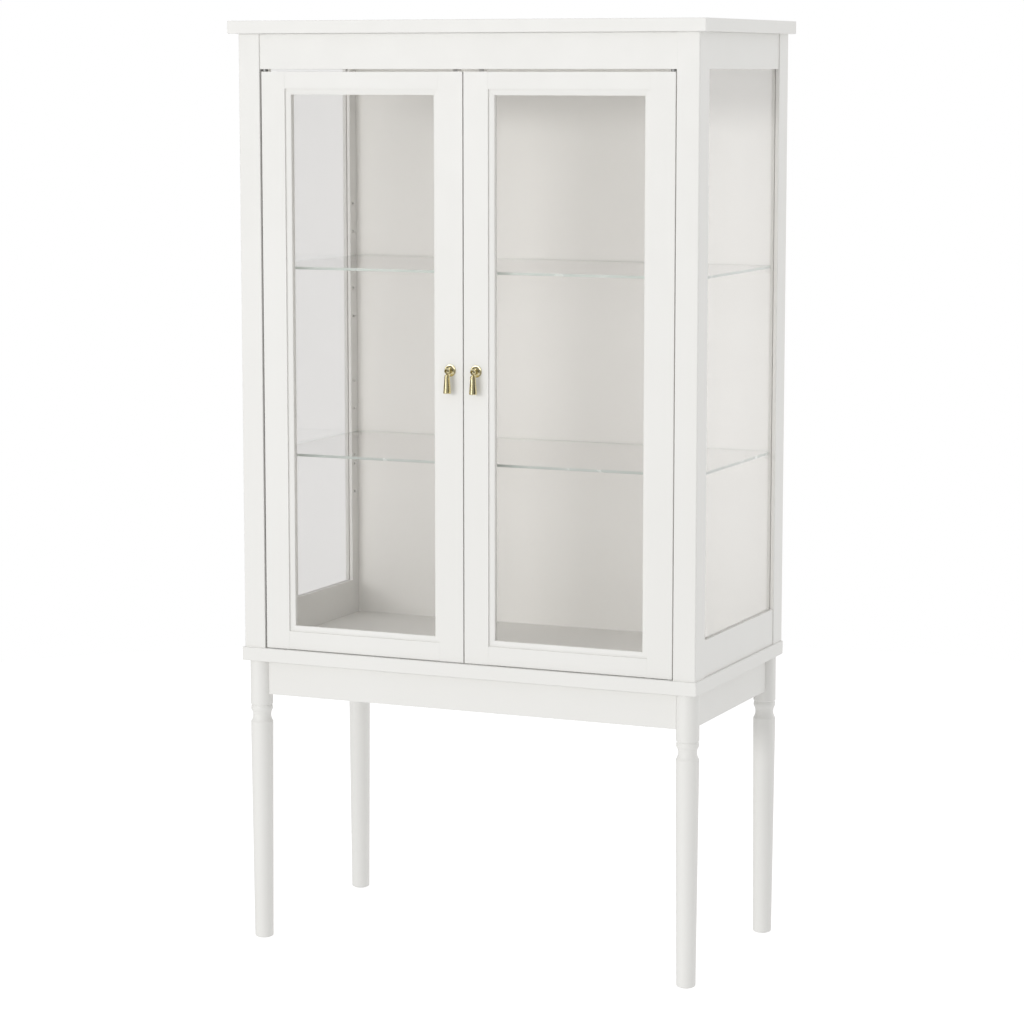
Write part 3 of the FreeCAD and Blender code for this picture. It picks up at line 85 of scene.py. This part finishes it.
# Camera that stands where the photograph was taken
CAMERA_PLACE = (1.9636, -4.4726, 1.3311)
CAMERA_YAW = math.radians(23.713)
CAMERA_PITCH = math.radians(-7.783)
CAMERA_LENS = 113.396
SENSOR = 36.0


def grey(level):
    """A neutral colour, as linear light."""
    return (level, level, level, 1)


def new_material(name):
    """An empty node material with its output node."""
    made = bpy.data.materials.new(name)
    made.use_nodes = True
    made.node_tree.nodes.clear()
    output = made.node_tree.nodes.new("ShaderNodeOutputMaterial")
    return made, made.node_tree, output


def principled(tree, **sockets):
    """A Principled shader with plain values on its sockets."""
    shader = tree.nodes.new("ShaderNodeBsdfPrincipled")
    for name, value in sockets.items():
        shader.inputs[name.replace("_", " ")].default_value = value
    return shader


def diffuse(tree, colour):
    """A matt surface of one colour."""
    shader = tree.nodes.new("ShaderNodeBsdfDiffuse")
    shader.inputs["Color"].default_value = colour
    return shader.outputs["BSDF"]


def emission(tree, strength):
    """A white glow."""
    shader = tree.nodes.new("ShaderNodeEmission")
    shader.inputs["Color"].default_value = WHITE
    shader.inputs["Strength"].default_value = strength
    return shader.outputs["Emission"]


def mix_shaders(tree, factor, first, second):
    """The first shader where the factor is zero, and the second where it is one."""
    mix = tree.nodes.new("ShaderNodeMixShader")
    tree.links.new(factor, mix.inputs["Fac"])
    tree.links.new(first, mix.inputs[1])
    tree.links.new(second, mix.inputs[2])
    return mix.outputs["Shader"]


def either_path(tree, first, second):
    """One for light paths of two kinds, and zero for others."""
    path = tree.nodes.new("ShaderNodeLightPath")
    larger = tree.nodes.new("ShaderNodeMath")
    larger.operation = "MAXIMUM"
    tree.links.new(path.outputs[first], larger.inputs[0])
    tree.links.new(path.outputs[second], larger.inputs[1])
    return larger.outputs["Value"]


def seen_directly(tree):
    """One for what the eye sees straight or through glass, and zero for light on its way."""
    return either_path(tree, "Is Camera Ray", "Is Transmission Ray")


def place_on(tree, stretch=(1, 1, 1)):
    """The piece's own coordinates, stretched along its axes."""
    coordinates = tree.nodes.new("ShaderNodeTexCoord")
    mapping = tree.nodes.new("ShaderNodeMapping")
    mapping.inputs["Scale"].default_value = stretch
    tree.links.new(coordinates.outputs["Object"], mapping.inputs["Vector"])
    return mapping.outputs["Vector"]


def noise(tree, vector, scale, detail=PLAIN_DETAIL):
    """A cloudy texture."""
    texture = tree.nodes.new("ShaderNodeTexNoise")
    texture.inputs["Scale"].default_value = scale
    texture.inputs["Detail"].default_value = detail
    tree.links.new(vector, texture.inputs["Vector"])
    return texture.outputs["Fac"]


def blend_colours(tree, factor, first, second):
    """A colour between two, by a texture."""
    ramp = tree.nodes.new("ShaderNodeValToRGB")
    ramp.color_ramp.elements[0].position = NOISE_LOW
    ramp.color_ramp.elements[0].color = first
    ramp.color_ramp.elements[1].position = NOISE_HIGH
    ramp.color_ramp.elements[1].color = second
    tree.links.new(factor, ramp.inputs["Fac"])
    return ramp.outputs["Color"]


def spread(tree, factor, low, high):
    """A number between two, by a texture."""
    span = tree.nodes.new("ShaderNodeMapRange")
    span.inputs["From Min"].default_value = NOISE_LOW
    span.inputs["From Max"].default_value = NOISE_HIGH
    span.inputs["To Min"].default_value = low
    span.inputs["To Max"].default_value = high
    tree.links.new(factor, span.inputs["Value"])
    return span.outputs["Result"]


def grain(tree, shader, height_map, height):
    """A fine relief on a shader."""
    bump = tree.nodes.new("ShaderNodeBump")
    bump.inputs["Distance"].default_value = height
    tree.links.new(height_map, bump.inputs["Height"])
    tree.links.new(bump.outputs["Normal"], shader.inputs["Normal"])


def painted(name, pale, deep, gloss, cloud_scale, grain_scale):
    """A satin opaque finish with faint clouding, uneven sheen and a fine relief."""
    made, tree, output = new_material(name)
    shader = principled(tree, IOR=PAINT_IOR)
    vector = place_on(tree)
    clouds = noise(tree, vector, cloud_scale)
    tree.links.new(blend_colours(tree, clouds, deep, pale), shader.inputs["Base Color"])
    sheen = noise(tree, vector, SHEEN_SCALE)
    tree.links.new(spread(tree, sheen, *gloss), shader.inputs["Roughness"])
    grain(tree, shader, noise(tree, vector, grain_scale), PAINT_GRAIN_HEIGHT)
    tree.links.new(shader.outputs["BSDF"], output.inputs["Surface"])
    return made


def metal(name, pale, deep, gloss, stretch, grain_height):
    """A metal with faint drawn streaks."""
    made, tree, output = new_material(name)
    shader = principled(tree, Metallic=1.0)
    vector = place_on(tree, stretch)
    streaks = noise(tree, vector, METAL_GRAIN_SCALE)
    tree.links.new(blend_colours(tree, streaks, deep, pale), shader.inputs["Base Color"])
    tree.links.new(spread(tree, streaks, *gloss), shader.inputs["Roughness"])
    grain(tree, shader, streaks, grain_height)
    tree.links.new(shader.outputs["BSDF"], output.inputs["Surface"])
    return made


def wood(name):
    """Bare beech with its grain along the height."""
    made, tree, output = new_material(name)
    shader = principled(tree, Roughness=BEECH_ROUGHNESS)
    fibres = noise(tree, place_on(tree, BEECH_STRETCH), FIBRE_SCALE, FIBRE_DETAIL)
    tree.links.new(blend_colours(tree, fibres, BEECH_DEEP, BEECH_PALE), shader.inputs["Base Color"])
    grain(tree, shader, fibres, PAINT_GRAIN_HEIGHT)
    tree.links.new(shader.outputs["BSDF"], output.inputs["Surface"])
    return made


def glass(name):
    """Clear float glass that lets the lamps light what is behind it."""
    made, tree, output = new_material(name)
    shader = principled(tree, Base_Color=GLASS_TINT, IOR=GLASS_IOR, Transmission_Weight=1.0)
    smears = noise(tree, place_on(tree), SMEAR_SCALE)
    tree.links.new(spread(tree, smears, *GLASS_GLOSS), shader.inputs["Roughness"])
    clear = tree.nodes.new("ShaderNodeBsdfTransparent")
    clear.inputs["Color"].default_value = GLASS_PASS
    passing = either_path(tree, "Is Shadow Ray", "Is Diffuse Ray")
    mixed = mix_shaders(tree, passing, shader.outputs["BSDF"], clear.outputs["BSDF"])
    tree.links.new(mixed, output.inputs["Surface"])
    return made


def glass_edge(name):
    """The ground edge of a shelf, where the glass shows its green."""
    made, tree, output = new_material(name)
    shader = principled(tree, IOR=GLASS_IOR, Transmission_Weight=EDGE_TRANSMISSION)
    ripple = noise(tree, place_on(tree), RIPPLE_SCALE)
    tree.links.new(blend_colours(tree, ripple, EDGE_DEEP, EDGE_PALE), shader.inputs["Base Color"])
    tree.links.new(spread(tree, ripple, *EDGE_GLOSS), shader.inputs["Roughness"])
    tree.links.new(shader.outputs["BSDF"], output.inputs["Surface"])
    return made


# Each piece takes the finish of its material slot, and a shelf's upright faces are its edges
FINISHES = {
    "white_paint": painted("satin_white_paint", PAINT_PALE, PAINT_DEEP, PAINT_GLOSS,
                           CLOUD_SCALE, PAINT_GRAIN_SCALE),
    # The back board's finish is whiter than the paint partly as painted light for the inside of the case
    "white_hardboard": painted("white_board_with_painted_light", BOARD_PALE_WITH_PAINTED_LIGHT, BOARD_DEEP_WITH_PAINTED_LIGHT, BOARD_GLOSS,
                               CLOUD_SCALE, BOARD_GRAIN_SCALE),
    "white_plastic": painted("matt_white_plastic", PLASTIC_PALE, PLASTIC_DEEP, PLASTIC_GLOSS,
                             SHEEN_SCALE, PLASTIC_GRAIN_SCALE),
    "bare_wood": wood("bare_beech"),
    "clear_glass": glass("clear_float_glass"),
    "brass": metal("polished_brass", BRASS_PALE, BRASS_DEEP, BRASS_GLOSS,
                   BRASS_STRETCH, BRASS_GRAIN_HEIGHT),
    "steel": metal("zinc_plated_steel", STEEL_PALE, STEEL_DEEP, STEEL_GLOSS,
                   STEEL_STRETCH, STEEL_GRAIN_HEIGHT),
}
SHELF_EDGE = glass_edge("green_shelf_edge")
SHELVES = ("shelf_lower", "shelf_upper")
LEVEL_NORMAL = 0.5

slots = {part["node"]: part["material_slot"] for part in frame["record"]["subparts"]}
for name, node in frame["nodes"].items():
    node.data.materials.clear()
    node.data.materials.append(FINISHES[slots[name]])
for name in SHELVES:
    mesh = frame["nodes"][name].data
    mesh.materials.append(SHELF_EDGE)
    for face in mesh.polygons:
        face.material_index = 0 if abs(face.normal.z) > LEVEL_NORMAL else 1

# Round white floor, which still takes the cabinet's shadow
FLOOR_RADIUS = 2.6
FLOOR_SIDES = 96
FLOOR_COLOUR = grey(0.80)
FLOOR_SEEN = grey(0.40)
FLOOR_GLOW = 0.80


def studio_floor():
    """A floor that the eye sees as white but for the shadow on it."""
    made, tree, output = new_material("studio_floor")
    seen = tree.nodes.new("ShaderNodeAddShader")
    tree.links.new(diffuse(tree, FLOOR_SEEN), seen.inputs[0])
    tree.links.new(emission(tree, FLOOR_GLOW), seen.inputs[1])
    mixed = mix_shaders(tree, seen_directly(tree), diffuse(tree, FLOOR_COLOUR), seen.outputs["Shader"])
    tree.links.new(mixed, output.inputs["Surface"])
    bpy.ops.mesh.primitive_circle_add(vertices=FLOOR_SIDES, radius=FLOOR_RADIUS, fill_type="NGON")
    floor = bpy.context.object
    floor.name = "floor"
    floor.data.materials.append(made)
    floor.visible_diffuse = False
    return floor


floor = studio_floor()

# White surroundings, which light matt surfaces most from a little below the horizon, less from the left,
# the front right and behind, and more from the rear right. The peak and the band are heights between -1,
# straight down, and 1, straight up.
LIGHT_BELOW = 0.92
LIGHT_LOW = 1.10
LIGHT_LEVEL = 1.48
LIGHT_HIGH = 0.92
LIGHT_ABOVE = 0.84
LIGHT_PEAK = -0.12
LIGHT_BAND = 0.5
LIGHT_BEHIND = 0.80

# Each is (azimuth in degrees, level). A side sets in where a direction points this far along its azimuth,
# out of 1, and reaches its level at 1.
SIDE_LEVELS = ((60, 0.40), (-80, 0.50), (120, 1.35))
SIDE_START = 0.4

# Polished surfaces mirror a dim room in front of the cabinet and a white wall behind it, and the one turns
# into the other between these two distances along the depth, out of 1
ROOM_LEVEL = 0.30
WALL_START = -0.16
WALL_END = 0.16
UP = (0, 0, 1)
BACK = (0, 1, 0)


def towards(azimuth):
    """The level direction at an azimuth in degrees, from the front towards the right."""
    turn = math.radians(azimuth)
    return (math.sin(turn), -math.cos(turn), 0)


def by_direction(tree, axis, stops):
    """A grey that goes by how far a direction points along an axis, from -1 to 1."""
    way = tree.nodes.new("ShaderNodeTexCoord")
    along = tree.nodes.new("ShaderNodeVectorMath")
    along.operation = "DOT_PRODUCT"
    along.inputs[1].default_value = axis
    tree.links.new(way.outputs["Generated"], along.inputs[0])
    share = tree.nodes.new("ShaderNodeMapRange")
    share.inputs["From Min"].default_value = -1
    share.inputs["From Max"].default_value = 1
    tree.links.new(along.outputs["Value"], share.inputs["Value"])
    ramp = tree.nodes.new("ShaderNodeValToRGB")
    steps = ramp.color_ramp.elements
    while len(steps) < len(stops):
        steps.new(1)
    for step, (position, level) in zip(steps, stops):
        step.position = (position + 1) / 2
        step.color = grey(level)
    tree.links.new(share.outputs["Result"], ramp.inputs["Fac"])
    return ramp.outputs["Color"]


def times(tree, first, second):
    """The product of two colours."""
    product = tree.nodes.new("ShaderNodeVectorMath")
    product.operation = "MULTIPLY"
    tree.links.new(first, product.inputs[0])
    tree.links.new(second, product.inputs[1])
    return product.outputs["Vector"]


def studio_world():
    """White to the eye, with one light for matt surfaces and another for polished ones."""
    world = bpy.data.worlds.new("studio")
    world.use_nodes = True
    tree = world.node_tree
    tree.nodes.clear()
    light = by_direction(tree, UP, (
        (-1, LIGHT_BELOW), (-LIGHT_BAND, LIGHT_LOW), (LIGHT_PEAK, LIGHT_LEVEL), (LIGHT_BAND, LIGHT_HIGH),
        (1, LIGHT_ABOVE)))
    light = times(tree, light, by_direction(tree, BACK, ((0, 1), (1, LIGHT_BEHIND))))
    for azimuth, level in SIDE_LEVELS:
        side = by_direction(tree, towards(azimuth), ((SIDE_START, 1), (1, level)))
        light = times(tree, light, side)
    fill = tree.nodes.new("ShaderNodeBackground")
    tree.links.new(light, fill.inputs["Color"])
    mirror = tree.nodes.new("ShaderNodeBackground")
    room = by_direction(tree, BACK, ((WALL_START, ROOM_LEVEL), (WALL_END, 1)))
    tree.links.new(room, mirror.inputs["Color"])
    backdrop = tree.nodes.new("ShaderNodeBackground")
    backdrop.inputs["Color"].default_value = WHITE
    backdrop.inputs["Strength"].default_value = 1.0
    path = tree.nodes.new("ShaderNodeLightPath")
    surroundings = mix_shaders(
        tree, path.outputs["Is Glossy Ray"], fill.outputs["Background"], mirror.outputs["Background"])
    mixed = mix_shaders(tree, seen_directly(tree), surroundings, backdrop.outputs["Background"])
    output = tree.nodes.new("ShaderNodeOutputWorld")
    tree.links.new(mixed, output.inputs["Surface"])
    return world


bpy.context.scene.world = studio_world()

# Wide soft lamp in front on the left, above the eye
KEY_PLACE = (-1.8, -6.3, 1.9)
KEY_TARGET = (0, 0, 0.8)
KEY_WIDTH = 4.0
KEY_HEIGHT = 0.9
KEY_POWER = 108

lamp = bpy.data.lights.new("key", "AREA")
lamp.shape = "RECTANGLE"
lamp.size = KEY_WIDTH
lamp.size_y = KEY_HEIGHT
lamp.energy = KEY_POWER
key = bpy.data.objects.new("key", lamp)
bpy.context.scene.collection.objects.link(key)
key.location = KEY_PLACE
key.rotation_euler = (Vector(KEY_TARGET) - key.location).to_track_quat("-Z", "Y").to_euler()

# Cards that only polished surfaces mirror: dark ones beside the cabinet, bright strips in front of it.
# Each is (name, azimuth, distance, width, height of its foot, height, brightness).
CARDS = (
    ("card_right", 80, 2.2, 1.7, 0, 2.6, 0.01),
    ("card_left", -76, 2.2, 2.1, 0, 2.6, 0.01),
    ("strip_near", -12, 6.0, 1.0, 0.6, 1.3, 2.4),
    ("strip_far", -38, 6.0, 1.3, 0.6, 1.3, 2.6),
)


def mirror_card(name, azimuth, distance, width, foot, height, brightness):
    """An upright card that faces the cabinet."""
    made, tree, output = new_material(name)
    tree.links.new(emission(tree, brightness), output.inputs["Surface"])
    bpy.ops.mesh.primitive_plane_add(size=1)
    card = bpy.context.object
    card.name = name
    card.scale = (width, height, 1)
    card.rotation_euler = Euler((math.pi / 2, 0, math.radians(azimuth)))
    x, y, _ = towards(azimuth)
    card.location = (distance * x, distance * y, foot + height / 2)
    card.data.materials.append(made)
    card.visible_camera = False
    card.visible_diffuse = False
    card.visible_transmission = False
    card.visible_shadow = False
    return card


for card_values in CARDS:
    card = mirror_card(*card_values)

view = bpy.data.cameras.new("camera")
view.lens = CAMERA_LENS
view.sensor_width = SENSOR
camera = bpy.data.objects.new("camera", view)
bpy.context.scene.collection.objects.link(camera)
camera.location = CAMERA_PLACE
camera.rotation_euler = Euler((math.pi / 2 + CAMERA_PITCH, 0, CAMERA_YAW))
bpy.context.scene.camera = camera
bpy.context.scene.view_settings.view_transform = "Standard"
